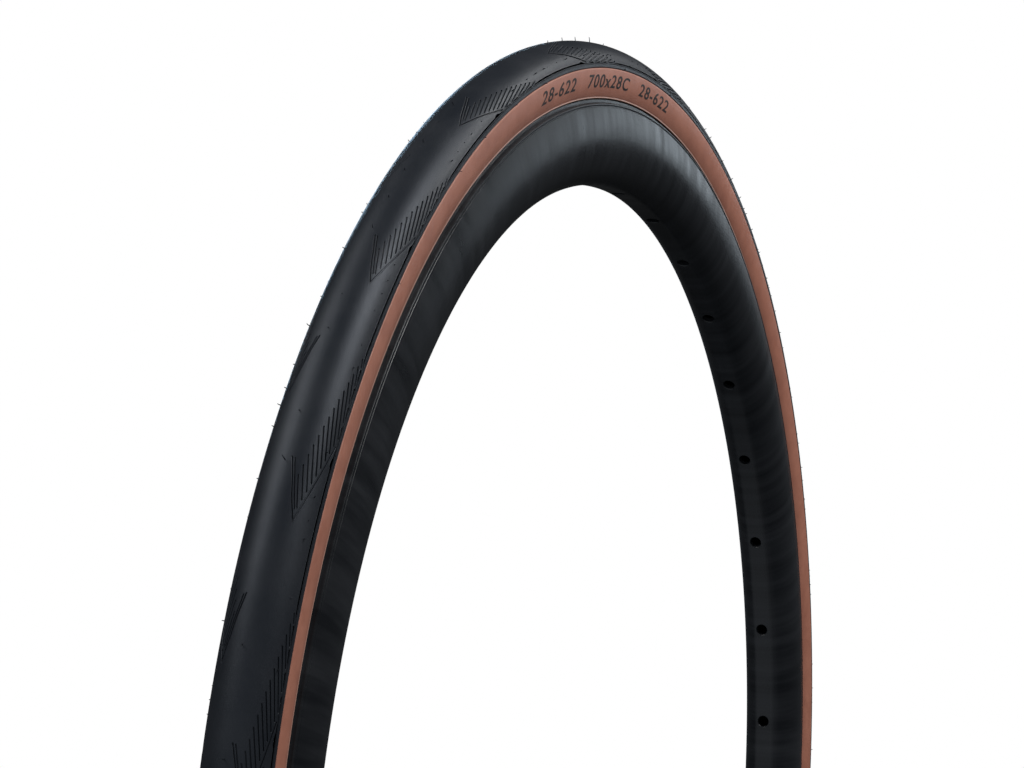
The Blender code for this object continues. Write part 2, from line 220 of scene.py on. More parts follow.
def both_sides(half):
    return list(half) + [(-p[0],) + tuple(p[1:]) for p in reversed(half)]


# ---- shapes ----


def about_axle(y, r, angle):
    """Places section points at angles in degrees round the wheel."""
    y, r, turn = np.broadcast_arrays(y, r, np.radians(angle))
    return np.stack([r * np.cos(turn), y + 0.0, r * np.sin(turn)], axis=-1)


def about_valve(r, h, angle):
    """Places (radius, height) points round the valve's line."""
    return about_axle(h, r, angle)[..., [0, 2, 1]]


def unit(vectors):
    return vectors / np.maximum(np.linalg.norm(vectors, axis=-1, keepdims=True), 1e-12)


def even_angles(count):
    return np.arange(count) * 360.0 / count


def face_normals(points, faces):
    across = points[faces[:, 2]] - points[faces[:, 0]]
    return unit(np.cross(across, points[faces[:, -1]] - points[faces[:, 1]]))


def grid_faces(columns, count, closed=True):
    """Quads of a grid that is closed round its columns, and round each column if closed."""
    now, i = np.arange(columns)[:, None], np.arange(count if closed else count - 1)
    after, k = (now + 1) % columns, (i + 1) % count
    corners = [now * count + i, now * count + k, after * count + k, after * count + i]
    return np.stack(corners, axis=-1).reshape(-1, 4)


def new_object(name, data):
    obj = bpy.data.objects.new(name, data)
    bpy.context.scene.collection.objects.link(obj)
    return obj


class Shape:
    """Collects faces with the normals of their corners, then welds them into one object."""

    def __init__(self):
        self.points, self.faces, self.normals, self.count = [], [], [], 0

    def add(self, points, faces, normals=None):
        """Normals are given for each point or each corner; left out, the faces are flat."""
        points = np.asarray(points, float).reshape(-1, 3)
        faces = np.asarray(faces, int)
        flat = face_normals(points, faces)
        if normals is None:
            corners = np.repeat(flat[:, None], faces.shape[1], axis=1)
        else:
            normals = np.asarray(normals, float)
            corners = normals if normals.ndim == 3 else normals[faces]
            back = np.einsum("ij,ij->i", flat, corners.sum(axis=1)) < 0
            faces = np.where(back[:, None], faces[:, ::-1], faces)
            corners = np.where(back[:, None, None], corners[:, ::-1], corners)
        self.points.append(points)
        self.faces.append(faces + self.count)
        self.normals.append(corners)
        self.count += len(points)

    def add_facing(self, points, faces, outward, slack=0.0):
        """Flat faces, each turned to look along the outward vectors of its corners."""
        agree = np.einsum("ij,ij->i", face_normals(points, faces), outward[faces].mean(axis=1))
        self.add(points, np.where((agree < -slack)[:, None], faces[:, ::-1], faces))

    def finish(self, name, crease=None, lift=0.0):
        """Lift moves the shape up; crease, in degrees, smooths by angle instead of by normals."""
        points = np.concatenate(self.points) + (0.0, 0.0, lift)
        keys = np.round(points * 1e4).astype(np.int64)
        _, first, index = np.unique(keys, axis=0, return_index=True, return_inverse=True)
        index = index.reshape(-1)
        faces, normals = [], []
        for block, corners in zip(self.faces, self.normals):
            for face, corner in zip(index[block].tolist(), corners.tolist()):
                kept = [i for i in range(len(face)) if face[i] != face[i - 1]]
                if len(kept) > 2:
                    faces.append([face[i] for i in kept])
                    normals.extend(corner[i] for i in kept)
        mesh = bpy.data.meshes.new(name)
        mesh.from_pydata((points[first] * MM).tolist(), [], faces)
        mesh.polygons.foreach_set("use_smooth", [True] * len(faces))
        if crease is None:
            mesh.normals_split_custom_set(normals)
        else:
            mesh.set_sharp_from_angle(angle=math.radians(crease))
        return new_object(name, mesh)


def profile_normals(outline, closed, flip=False, crease=32):
    """Outward normals at the start and end of each segment of an outline."""
    points = np.asarray(outline, float)
    ends = np.roll(points, -1, axis=0) if closed else points[1:]
    starts = points if closed else points[:-1]
    area = np.sum(points[:, 0] * np.roll(points[:, 1], -1) - np.roll(points[:, 0], -1) * points[:, 1])
    along = ends - starts
    side = np.stack([along[:, 1], -along[:, 0]], axis=1)
    if (closed and area < 0) != flip:
        side = -side
    flat = side / np.maximum(np.hypot(*side.T), 1e-12)[:, None]
    before, after = np.roll(flat, 1, axis=0), np.roll(flat, -1, axis=0)
    if not closed:
        before[0], after[-1] = flat[0], flat[-1]
    limit = math.cos(math.radians(crease))
    made = []
    for other in (before, after):
        blend = flat + other
        blend = blend / np.maximum(np.hypot(*blend.T), 1e-12)[:, None]
        soft = np.einsum("ij,ij->i", flat, other) > limit
        made.append(np.where(soft[:, None], blend, flat))
    return made


def revolve(shape, outline, angles, closed=True, flip=False):
    """Turns a section outline the whole way round the axle, at the given angles."""
    outline = np.asarray(outline, float)

    def turned(section):
        return about_axle(section[None, :, 0], section[None, :, 1], angles[:, None])

    starts, ends = (turned(normals) for normals in profile_normals(outline, closed, flip))
    corners = [starts, ends, np.roll(ends, -1, axis=0), np.roll(starts, -1, axis=0)]
    faces = grid_faces(len(angles), len(outline), closed)
    shape.add(turned(outline), faces, np.stack(corners, axis=-2).reshape(-1, 4, 3))


def ring(name, outline, columns=360):
    shape = Shape()
    revolve(shape, outline, even_angles(columns))
    return shape.finish(name)


# ---- tread pattern ----


def subdivided(path, step=1.6):
    made = [np.array(path[0], float)]
    for a, b in zip(path[:-1], path[1:]):
        a, b = np.array(a, float), np.array(b, float)
        count = max(1, round(float(np.hypot(*(b - a))) / step))
        made += [a + (b - a) * (i + 1) / count for i in range(count)]
    return np.array(made)


def groove_loop(path, half, cap_steps=4):
    """Closed outline round a path at a distance of half from it: left side, cap, right, cap."""
    along = unit(np.diff(path, axis=0))
    side = np.stack([-along[:, 1], along[:, 0]], axis=1)
    left = []
    for a, b in zip(np.concatenate([side[:1], side]), np.concatenate([side, side[-1:]])):
        mid = (a + b) / np.linalg.norm(a + b)
        left.append(mid / max(0.2, float(mid @ b)))
    left = np.array(left)
    caps = []
    for center, out, normal in ((path[-1], along[-1], side[-1]), (path[0], -along[0], -side[0])):
        angles = [math.pi * k / cap_steps for k in range(1, cap_steps)]
        caps.append([center + half * (math.cos(t) * normal + math.sin(t) * out) for t in angles])
    return np.concatenate([path + half * left, caps[0], (path - half * left)[::-1], caps[1]])


def groove_paths():
    """Centre lines, as (u, v), of one group: a sharp V, a line inside it and fourteen hatches."""
    arm = [(22.1, 2.2), (15.1, 4.0), (8.0, 5.5), (0.0, 7.75)]
    border = [(6.4, 9.6), (12.9, 11.3), (21.5, 13.6), (30.8, 15.95)]
    paths = [arm + border, [(21.8, 3.2), (10.6, 5.85), (4.2, 7.35)]]
    slope, border_slope = 0.2, 0.268
    for k in range(14):
        top_u, top_v = 16.0 + 3.93 * k, 5.8 + 0.745 * k
        to_border = (top_v + slope * top_u - 6.85) / (slope + border_slope)
        to_edge = top_u - (16.15 - top_v) / slope
        u = max(to_border, to_edge)
        paths.append([(top_u, top_v), (u, top_v + slope * (top_u - u))])
    return [subdivided(path) for path in paths]


def inside(points, loop):
    """Which points lie inside a closed 2D loop."""
    x, y = points[:, 0], points[:, 1]
    result = np.zeros(len(points), bool)
    for a, b in zip(loop, np.roll(loop, -1, axis=0)):
        crosses = (a[1] > y) != (b[1] > y)
        with np.errstate(divide="ignore", invalid="ignore"):
            at = (b[0] - a[0]) * (y - a[1]) / (b[1] - a[1]) + a[0]
        result ^= crosses & (x < at)
    return result


def distance_to_path(points, path):
    best = np.full(len(points), 1e9)
    for a, b in zip(path[:-1], path[1:]):
        ab = b - a
        t = np.clip(((points - a) @ ab) / max(float(ab @ ab), 1e-9), 0, 1)
        best = np.minimum(best, np.hypot(*(points - a - t[:, None] * ab).T))
    return best


def triangulated(columns, rows, loops, keep_off):
    """Points and triangles of a rectangle round holes; keep_off says which inner points stay."""
    edge = [(c, rows[0]) for c in columns[:-1]] + [(columns[-1], r) for r in rows[:-1]]
    edge += [(c, rows[-1]) for c in columns[:0:-1]] + [(columns[0], r) for r in rows[:0:-1]]
    inner = np.array([(c, r) for c in columns[1:-1] for r in rows[1:-1]], float)
    points, edges, count = [], [], 0
    for loop in [np.array(edge, float), *loops]:
        size = len(loop)
        edges += [(count + i, count + (i + 1) % size) for i in range(size)]
        points.append(loop)
        count += size
    points = np.concatenate([*points, inner[keep_off(inner)]])
    made = delaunay_2d_cdt([Vector(p) for p in points], edges, [], 0, 1e-5)
    origin = [source[0] for source in made[3]]
    triangles = np.array([[origin[i] for i in face] for face in made[2]])
    centers = points[triangles].mean(axis=1)
    filled = np.zeros(len(triangles), bool)
    for loop in loops:
        near = np.all((centers >= loop.min(0)) & (centers <= loop.max(0)), axis=1)
        filled[near] |= inside(centers[near], loop)
    return points, triangles[~filled]


def wall_faces(size, count):
    """Quads of count walls, each from one loop of size points to the next."""
    i = np.arange(size)
    k = (i + 1) % size
    wall = np.stack([i, k, size + k, size + i], axis=1)
    return np.concatenate([wall + first * size for first in range(count)])


def groove_floor(first, side, caps):
    """Faces of the floor of one groove loop with that many points a side and in a cap."""
    size = 2 * (side + caps)
    faces = [
        (first + i, first + i + 1, first + size - caps - 2 - i, first + size - caps - 1 - i)
        for i in range(side - 1)
    ]
    end, start = first + side - 1, first + size - caps - 1
    faces += [(end, end + 1, end + caps, end + caps + 1)]
    faces += [(start, start + 1, start + caps, first)]
    triangles = [(end + 1, end + 2, end + 3), (start + 1, start + 2, start + 3)]
    return np.array(faces), np.array(triangles)


def tread_tile():
    """One group of the tread's half, as blocks of ((u, v, depth) points, faces, smooth)."""
    paths = groove_paths()
    lip = GROOVE_HALF + GROOVE_LIP
    levels = [(lip, 0.0), (GROOVE_HALF, GROOVE_LIP_DROP), (GROOVE_HALF - 0.06, GROOVE_DEPTH)]
    columns = np.arange(COLUMNS + 1) * PITCH / COLUMNS - LEAD
    rows = np.linspace(0.0, PATTERN_TOP, 15)

    def keep_off(points):
        return np.all([distance_to_path(points, path) > lip + 0.3 for path in paths], axis=0)

    outer = [groove_loop(path, lip) for path in paths]
    points, triangles = triangulated(columns, rows, outer, keep_off)
    blocks = [(np.insert(points, 2, 0.0, axis=1), triangles, True)]
    for path in paths:
        loops = [np.insert(groove_loop(path, half), 2, depth, axis=1) for half, depth in levels]
        size = len(loops[0])
        floor, corners = groove_floor(2 * size, len(path), 3)
        made = np.concatenate(loops)
        blocks.append((made, np.concatenate([wall_faces(size, 2), floor]), False))
        blocks.append((made, corners, False))
    return blocks


def column_of(u):
    return (np.asarray(u) + LEAD) * COLUMNS / PITCH


def column_angle(column):
    """Angle round the wheel of a column counted over the whole ring."""
    start = APEX_ANGLE + LEAD * 360.0 / (GROUPS * PITCH)
    return start - np.mod(column, RING_COLUMNS) * 360.0 / RING_COLUMNS


def tread_rows():
    """(v, depth) from the pattern's top past the parting line and over the edge to the crown."""
    line, edge = PARTING_LINE, TREAD_EDGE
    rows = [(PATTERN_TOP, 0), (line - 0.15, 0), (line - 0.09, 0.06), (line - 0.05, 0.28)]
    rows += [(line + 0.05, 0.28), (line + 0.09, 0.06), (line + 0.15, 0), (17.6, 0), (18.2, 0)]
    rows += [(edge - 0.3, 0), (edge - 0.14, 0.05), (edge - 0.04, 0.16), (edge, 0.34), (edge, 0.9)]
    under = (0.96, 0.9, 0.82, 0.74, 0.66)
    rows += [(length_at(station), layer_depth(station, 0) - CLEARANCE) for station in under]
    rows += [(v, TREAD_THICKNESS) for v in np.linspace(length_at(0.63), 0, 9)]
    return np.array(rows)


def build_tread():
    shape = Shape()
    blocks = tread_tile()
    for sign, shift in ((-1, 0), (1, COLUMNS // 2)):
        for points, faces, smooth in blocks:
            v = points[:, 1] * sign
            flat = TYRE.at(v, points[:, 2])
            normal = TYRE.normal(v)
            base = np.round(column_of(points[:, 0]), 9)
            for group in range(GROUPS):
                angle = column_angle(base + group * COLUMNS + shift)
                placed = about_axle(flat[:, 0], flat[:, 1], angle)
                up = about_axle(normal[:, 0], normal[:, 1], angle)
                if smooth:
                    shape.add(placed, faces, up)
                else:
                    shape.add_facing(placed, faces, up, 1e-3)
        rows = tread_rows()
        outline = TYRE.at(rows[:, 0] * sign, rows[:, 1])
        revolve(shape, outline, column_angle(np.arange(RING_COLUMNS)), False, flip=sign < 0)
    return shape.finish("tread_rubber")


def build_vents():
    """Moulding hairs: a row on the crown, one on each shoulder and a few at the tread's edge."""
    shape = Shape()
    places = [(0.0, k * 360 / 126) for k in range(126)]
    for side in (-1, 1):
        for v, count, start in HAIR_ROWS:
            places += [(side * v, (k + start) * 360 / count) for k in range(count)]
    for v, angle in places:
        if RNG.random() < HAIR_SHARE:
            add_hair(shape, v, angle + RNG.uniform(-0.4, 0.4))
    return shape.finish("vent_hairs", crease=60)


def add_hair(shape, v, angle):
    """A thin bent peg of five sides, rooted in the rubber; those off the crown are rubbed short."""
    length = RNG.choice((0.4, 0.7, 1.0, 1.4, 1.9, 2.3)) * RNG.uniform(0.85, 1.15)
    if abs(v) > 1:
        length *= 0.45
    root = about_axle(*TYRE.at(v), angle)
    out = about_axle(*TYRE.normal(v), angle)
    lean = unit(np.array([RNG.uniform(-1, 1) for _ in range(3)]))
    lean = lean - out * (lean @ out)
    side_a = unit(np.cross(out, (0.31, 0.77, 0.55)))
    side_b = np.cross(out, side_a)
    bend = RNG.uniform(0.05, 0.4)
    rings = []
    for share in (-0.4, 0.0, 0.35, 0.7, 1.0):
        radius = 0.20 - 0.07 * max(0.0, share)
        center = root + out * (length * share if share > 0 else share)
        center = center + lean * bend * length * max(0, share) ** 2
        for turn in np.arange(5) * 2 * math.pi / 5:
            rings.append(center + radius * (math.cos(turn) * side_a + math.sin(turn) * side_b))
    shape.add(rings, wall_faces(5, 4)[:, ::-1])
    shape.add(rings, [(20, 21, 22), (20, 22, 23), (20, 23, 24)])


# ---- sidewalls and inner layers ----


def build_skin(side):
    """The bronze sidewall skin with its rolled lower edge."""
    start = TREAD_EDGE + 0.12
    end = length_at(2.0) + FOOT_DROP
    rows = [(start, 0.75), (start, 0.3), (start + 0.05, 0.14), (start + 0.15, 0.05), (start + 0.3, 0.01)]
    rows += [(v, 0.0) for v in np.linspace(start + 0.8, end - 1.2, 14)]
    rows += [(end - 0.85, 0.02), (end - 0.68, 0.05), (end - 0.55, -0.02), (end - 0.4, -0.12)]
    rows += [(end - 0.22, -0.13), (end - 0.08, -0.05), (end, 0.08)]
    outer = [tuple(TYRE.at(v, d)) for v, d in rows]
    inner = [(FOOT_HALF_WIDTH - 1.5 * SKIN_THICKNESS, FOOT_RADIUS - 0.3)]
    inner += [tyre_point(s, SKIN_THICKNESS) for s in (1.8, 1.6, 1.45, 1.3, 1.15, 1.0)]
    outline = [(side * y, r) for y, r in outer + inner]
    return ring("sidewall_skin_" + ("left" if side < 0 else "right"), outline, RING_COLUMNS)


def bead_box():
    """Half widths and radii of the bead core: inner, outer, bottom, top."""
    wall = RIM_INNER_HALF_WIDTH - 3 * CLEARANCE - CHAFER_THICKNESS - PLY_THICKNESS
    bottom = BEAD_SEAT_RADIUS + 3 * CLEARANCE + CHAFER_THICKNESS + PLY_THICKNESS
    return wall - BEAD_CORE_WIDTH, wall, bottom, bottom + BEAD_CORE_WIDTH


def thick(path, thickness):
    """Closed outline of a strip with this centre line."""
    path = np.array(path, float)
    along = unit(np.gradient(path, axis=0))
    side = np.stack([-along[:, 1], along[:, 0]], axis=1) * thickness / 2
    return [tuple(p) for p in np.concatenate([path + side, (path - side)[::-1]])]


def belt_outline():
    top = TREAD_THICKNESS + CLEARANCE
    stations = np.linspace(0.0, BELT_EDGE, 8)
    outer = [tyre_point(s, top) for s in stations]
    inner = [tyre_point(s, top + BELT_THICKNESS) for s in stations[::-1]]
    return both_sides(outer + inner)


def casing_outline():
    """The ply runs from bead to bead, folds round each core and comes back up outside."""
    low, high, bottom, top = bead_box()
    reach = CLEARANCE + PLY_THICKNESS / 2
    half_ply = PLY_THICKNESS / 2
    inner = [tyre_point(s, layer_depth(s, 1) + half_ply) for s in np.linspace(0.04, 1.6, 20)]
    fold = [(low - reach, top + 1.6), (low - reach, bottom - reach)]
    fold += [(high + reach, bottom - reach), (high + reach, top + 0.7)]
    outer = [tyre_point(s, layer_depth(s, 0) + half_ply) for s in np.linspace(1.6, 0.6, 12)]
    half = inner + rounded(inner[-1:] + fold + outer[:1], 0.7, closed=False)[1:-1] + outer
    return thick([(-y, r) for y, r in reversed(half)] + half, PLY_THICKNESS)


def core_outline(side):
    low, high, bottom, top = bead_box()
    y, r = (low + high) / 2, (bottom + top) / 2
    radius = BEAD_CORE_WIDTH / 2
    turns = np.radians(np.arange(0, 360, 15))
    return [(side * (y + radius * math.cos(t)), r + radius * math.sin(t)) for t in turns]


def chafer_outline(side):
    low, _, _, top = bead_box()
    outside = RIM_INNER_HALF_WIDTH - CLEARANCE
    under = BEAD_SEAT_RADIUS + CLEARANCE
    toe = low - CLEARANCE
    inside_wall, over = outside - CHAFER_THICKNESS, under + CHAFER_THICKNESS
    points = [(outside, top + 0.7, 0.1), (outside, under, 0.6), (toe, under, 0.1)]
    points += [(toe, over, 0.1), (inside_wall, over, 0.2), (inside_wall, top + 0.7, 0.1)]
    return [(side * y, r) for y, r in rounded(points, 0.1)]


def tube_outlines():
    """Outer and inner loop of the inflated inner tube."""
    low, _, _, top = bead_box()
    neck = low - 3 * CLEARANCE - PLY_THICKNESS
    floor = WELL_RADIUS + 3 * CLEARANCE + TAPE_THICKNESS + 1.2
    stations = np.linspace(0.0, 1.6, 20)
    outer = [tyre_point(s, layer_depth(s, 2)) for s in stations]
    outer += [(neck, top + 1.8), (neck, floor + 1.2), (neck - 0.4, floor)]
    inner = [tyre_point(s, layer_depth(s, 2) + TUBE_WALL) for s in stations]
    inner += [(neck - TUBE_WALL, top + 1.4), (neck - TUBE_WALL, floor + TUBE_WALL)]
    return both_sides(outer), both_sides(inner)


def build_tube():
    shape = Shape()
    outer, inner = tube_outlines()
    revolve(shape, outer, even_angles(180))
    revolve(shape, inner, even_angles(180), flip=True)
    return shape.finish("tube_wall")


def tape_outline():
    low = WELL_RADIUS + CLEARANCE
    return rounded(both_sides([(4.3, low + TAPE_THICKNESS), (4.3, low)]), 0.2)


# ---- rim ----


def rim_arc(half, height, first, steps):
    """Points of a flank's quarter arc, from its first step to the rim's widest place."""
    turns = [NOSE_TURN + (math.pi / 2 - NOSE_TURN) * i / steps for i in range(first, steps + 1)]
    return [(half * math.sin(t), RIM_WIDEST_RADIUS - height * math.cos(t)) for t in turns]


def rim_half():
    """Outer half section from the nose's middle up the flank, over the lip and down to the bed."""
    height = (RIM_WIDEST_RADIUS - NOSE_RADIUS) / math.cos(NOSE_TURN)
    flank = rim_arc(RIM_HALF_WIDTH, height, 1, 18)
    corner = (NOSE_FLAT, NOSE_RADIUS, 6.0)
    start = rounded([(0.0, NOSE_RADIUS), corner, flank[1]], 6.0, 6, closed=False)[:-1]
    side = flank[1:]
    for share in (0.2, 0.4, 0.6, 0.8, 1.0):
        y = RIM_HALF_WIDTH - FLANK_DRAW * share**2
        side.append((y, RIM_WIDEST_RADIUS + FLANK_RISE * share))
    ridge = [(11.80, 311.85), (11.72, 312.1), (11.76, 312.3), (11.86, 312.55), (11.90, 312.8)]
    ridge += [(11.84, 313.05), (11.6, 313.25), (11.1, 313.4), (10.4, 313.5), (10.05, 313.7)]
    wall, seat = RIM_INNER_HALF_WIDTH, BEAD_SEAT_RADIUS
    lip = [(9.98, 313.9), (10.0, 314.85, 0.2), (wall, 314.95, 0.2), (wall, 311.4)]
    bed = [(wall, 311.3), (wall, seat, 0.5), (5.0, seat, 1.0)]
    bed += [(WELL_HALF_WIDTH, WELL_RADIUS, 0.8), (BED_STRIP, WELL_RADIUS)]
    inner = rounded(lip, 0.2, closed=False) + rounded(bed, 0.5, closed=False)[1:]
    return start, side + ridge, inner


def rim_chamber():
    """Half section of the chamber's wall above the nose strip, up to the bed strip."""
    height = RIM_WIDEST_RADIUS - NOSE_RADIUS - NOSE_THICKNESS + 1.2
    made = rim_arc(RIM_HALF_WIDTH - RIM_WALL, height, 5, 14)
    top, well = BEAD_SEAT_RADIUS - RIM_WALL, WELL_RADIUS - RIM_WALL
    return made + [(11.4, 304.5), (10.2, 308.4), (9.2, top), (6.6, top), (6.2, well), (BED_STRIP, well)]


def circle(center, radius, count=28):
    turns = 2 * math.pi * np.arange(count) / count
    return np.stack([center + radius * np.cos(turns), radius * np.sin(turns)], axis=1)


def add_drilled(shape, columns, to_angle, rows, holes, surface, wall, chamfer):
    """A drilled strip of the rim: its two faces and the walls of its holes.

    surface gives points and normals of the section at v and a depth; holes are (u, radius).
    """

    def keep_off(points):
        away = [(np.hypot(points[:, 0] - u, points[:, 1]), radius) for u, radius in holes]
        return np.all([far > radius + chamfer + 0.5 for far, radius in away], axis=0)

    def turned(points, depth):
        angle = to_angle(points[:, 0])
        return [about_axle(p[:, 0], p[:, 1], angle) for p in surface(points[:, 1], depth)]

    wide = [circle(u, radius + chamfer) for u, radius in holes]
    narrow = [circle(u, radius) for u, radius in holes]
    for loops, depth, sign in ((wide, 0.0, 1), (narrow, wall, -1)):
        points, triangles = triangulated(columns, rows, loops, keep_off)
        placed, normals = turned(points, depth)
        shape.add(placed, triangles, sign * normals)
    for top, low in zip(wide, narrow):
        placed = [turned(loop, depth)[0] for loop, depth in ((top, 0.0), (low, chamfer), (low, wall))]
        points = np.concatenate(placed)
        inward = unit(placed[1].mean(axis=0) - points)
        shape.add_facing(points, wall_faces(len(top), 2), inward)


def build_rim():
    shape = Shape()
    start, side, lip = rim_half()
    nose = Section(start + side)

    def nose_surface(v, depth):
        # the section runs outwards from the middle, so its left is the inside
        return nose.at(v, -np.asarray(depth, float)), -nose.normal(v)

    def bed_surface(v, depth):
        points = np.stack([v, np.full(len(v), WELL_RADIUS - depth)], axis=1)
        return points, np.tile((0.0, 1.0), (len(v), 1))

    pitch = 360.0 / SPOKE_HOLES
    width = math.radians(pitch) * NOSE_RADIUS
    total = SPOKE_HOLES * RIM_COLUMNS
    nose_rows = np.linspace(-NOSE_STRIP, NOSE_STRIP, 13)
    bed_rows = np.linspace(-BED_STRIP, BED_STRIP, 5)
    valve_tile = int(VALVE_ANGLE / pitch) - 1  # it spans two pitches, with the valve between them
    tile = 0
    while tile < SPOKE_HOLES:
        span = 2 if tile == valve_tile else 1
        columns = np.arange(span * RIM_COLUMNS + 1) * width / RIM_COLUMNS
        middles = [width / 2 + k * width for k in range(span)]
        valve_hole = [(width, VALVE_HOLE_RADIUS)] * (span - 1)
        holes = [(u, SPOKE_HOLE_RADIUS) for u in middles] + valve_hole
        bed_holes = [(u, ACCESS_HOLE_RADIUS) for u in middles] + valve_hole

        def to_angle(u, tile=tile):
            column = np.round(u * RIM_COLUMNS / width, 9) + tile * RIM_COLUMNS
            return np.mod(column, total) * 360.0 / total

        nose_wall, bed_wall = (nose_surface, NOSE_THICKNESS, 0.3), (bed_surface, RIM_WALL, 0.15)
        add_drilled(shape, columns, to_angle, nose_rows, holes, *nose_wall)
        add_drilled(shape, columns, to_angle, bed_rows, bed_holes, *bed_wall)
        tile += span
    v = np.concatenate([[NOSE_STRIP], nose.length[nose.length > NOSE_STRIP + 0.3]])
    outer = [tuple(p) for p in nose.at(v)] + list(lip[1:])
    corner = tuple(nose.at(NOSE_STRIP, -NOSE_THICKNESS))
    chamber = [corner] + [p for p in rim_chamber() if p[0] > corner[0] + 0.8 or p[1] > 300]
    for sign in (1, -1):
        for outline, outward in ((outer, sign), (chamber, -sign)):
            mirrored = np.array(outline) * (sign, 1)
            revolve(shape, mirrored, even_angles(total), False, flip=outward < 0)
    return shape.finish("rim_body")


# ---- valve ----


def lathe(name, outline, columns=32, radius=0.12, ribs=0, depth=0.0):
    """A small turned piece with softened edges.

    Its points are (radius, height, 1 where ribs are cut, radius of the corner).
    """
    soft = []
    for i, point in enumerate(outline):
        r, h, ribbed, corner = (*point, *(0, radius)[len(point) - 2 :])
        if r < 1e-6:
            soft.append((r, h, 0))
            continue
        around = [outline[i - 1][:2], (r, h, corner), outline[(i + 1) % len(outline)][:2]]
        soft += [(*p, ribbed) for p in rounded(around, radius, 3, closed=False)[1:-1]]
    radii, heights, ribbed = np.array(soft, float).T
    area = np.sum(radii * np.roll(heights, -1) - np.roll(radii, -1) * heights)
    angles = even_angles(columns)[:, None]
    cut = depth * (0.5 - 0.5 * np.cos(np.radians(angles * ribs)))
    faces = grid_faces(columns, len(soft))
    shape = Shape()
    shape.add(about_valve(radii - ribbed * cut, heights, angles), faces if area < 0 else faces[:, ::-1])
    return shape.finish(name, crease=35, lift=-NOSE_RADIUS)


def add_thread(shape, root, crest, low, high, pitch):
    """Outer surface of a screw thread between two heights, with four rows to a turn."""
    columns = STEM_COLUMNS
    rows = 4 * (int((high - low) / pitch) + 2) + 1
    column = np.arange(columns)[:, None]
    row = np.arange(rows)[None, :] - 4
    height = low + (row + 4.0 * column / columns) * pitch / 4
    profile = np.array([0.0, 0.85, 1.0, 0.15])[row % 4]
    ends = [np.clip(end / pitch, 0, 1) for end in (height - low, high - height)]
    radius = root + (crest - root) * profile * np.minimum(*ends)
    grid = about_valve(radius, np.clip(height, low, high), even_angles(columns)[:, None])
    faces = []
    for c in range(columns):
        over = (c + 1) // columns
        for r in range(rows - 1 - 4 * over):
            a = c * rows + r
            b = ((c + 1) % columns) * rows + r + 4 * over
            faces.append((a, b, b + 1, a + 1))
    shape.add(grid, faces)


def build_stem():
    """Threaded valve stem with its foot inside the tube."""
    foot_low, foot_high, thread_low, thread_high, top = -32.6, -31.6, -20.0, 22.8, 24.0
    bore, radius, root, foot = 2.0, 3.0, 2.8, 3.6
    shape = Shape()
    add_thread(shape, root, radius, thread_low, thread_high, 0.8)
    outline = [(root, thread_low), (radius, thread_low - 0.4), (radius, foot_high)]
    outline += [(foot, foot_high), (foot, foot_low), (bore, foot_low), (bore, top)]
    outline += [(root - 0.4, top), (root, top - 0.4), (root, thread_high)]
    r, h = np.array(rounded(outline, 0.15, 3, closed=False)).T
    grid = about_valve(r, h, even_angles(STEM_COLUMNS)[:, None])
    shape.add(grid, grid_faces(STEM_COLUMNS, len(r), closed=False))
    return shape.finish("stem_threaded", crease=40, lift=-NOSE_RADIUS)


def build_valve():
    """All the valve's pieces as (object, CAD nodes, body, slot); heights are above the nose."""
    cap = [(3.3, 17.0), (4.1, 17.0), (4.1, 18.4), (4.1, 18.9, 1), (4.1, 36.5, 1), (4.1, 37.2)]
    cap += [(4.05, 39.6, 0, 1.5), (2.7, 43.4, 0, 1.2), (0.0, 43.4), (0.0, 41.8), (2.2, 41.8)]
    cap.append((3.3, 39.0))
    collar = [(3.3, 0.25, 0, 0.2), (4.9, 0.25, 0, 0.25), (4.9, 0.7, 1), (4.9, 2.8, 1)]
    collar += [(4.9, 3.25, 0, 0.25), (3.3, 3.25, 0, 0.2)]
    core = [(1.0, -2.0), (1.65, -2.0), (1.65, 25.0), (2.7, 25.0), (2.7, 27.2), (2.1, 27.2)]
    core += [(2.1, 31.6), (1.0, 31.6)]
    gasket = [(1.85, 24.25), (2.7, 24.25), (2.7, 24.75), (1.85, 24.75)]
    seal = [(0.9, -3.8), (1.55, -3.8), (1.55, -2.8), (1.15, -2.3), (0.9, -2.3)]
    pin = [(0.0, -4.95), (1.3, -4.95), (1.3, -4.05), (0.7, -4.05), (0.7, 38.3), (0.4, 38.6), (0.0, 38.6)]
    nut = [(0.95, 31.85), (2.0, 31.85), (2.0, 32.2, 1), (2.0, 33.9, 1), (2.0, 34.25), (0.95, 34.25)]
    pad = [(3.3, -30.3), (4.2, -30.3), (4.2, -29.1), (3.3, -29.1)]
    return [
        (build_stem(), ["valve_stem"], "wheel", "valve_metal"),
        (lathe("stem_pad", pad, radius=0.3), ["valve_base"], "wheel", "butyl"),
        (lathe("core_tube", core, 30), ["valve_core_body"], "wheel", "brass"),
        (lathe("core_washer", gasket, radius=0.15), ["valve_core_gasket"], "wheel", "butyl"),
        (lathe("core_plug", seal, radius=0.15), ["valve_core_seal"], "pin", "butyl"),
        (lathe("core_rod", pin, 20), ["valve_core_pin"], "pin", "brass"),
        (lathe("core_nut_knurled", nut, 96, 0.1, 24, 0.16), ["valve_core_nut"], "nut", "brass"),
        (
            lathe("stem_collar_knurled", collar, 160, 0.1, 32, 0.3),
            ["valve_lock_ring"], "lock_ring", "valve_metal",
        ),
        (lathe("cap_ribbed", cap, 120, 0.2, 20, 0.35), ["valve_cap"], "cap", "cap_plastic"),
    ]


# ---- size print ----


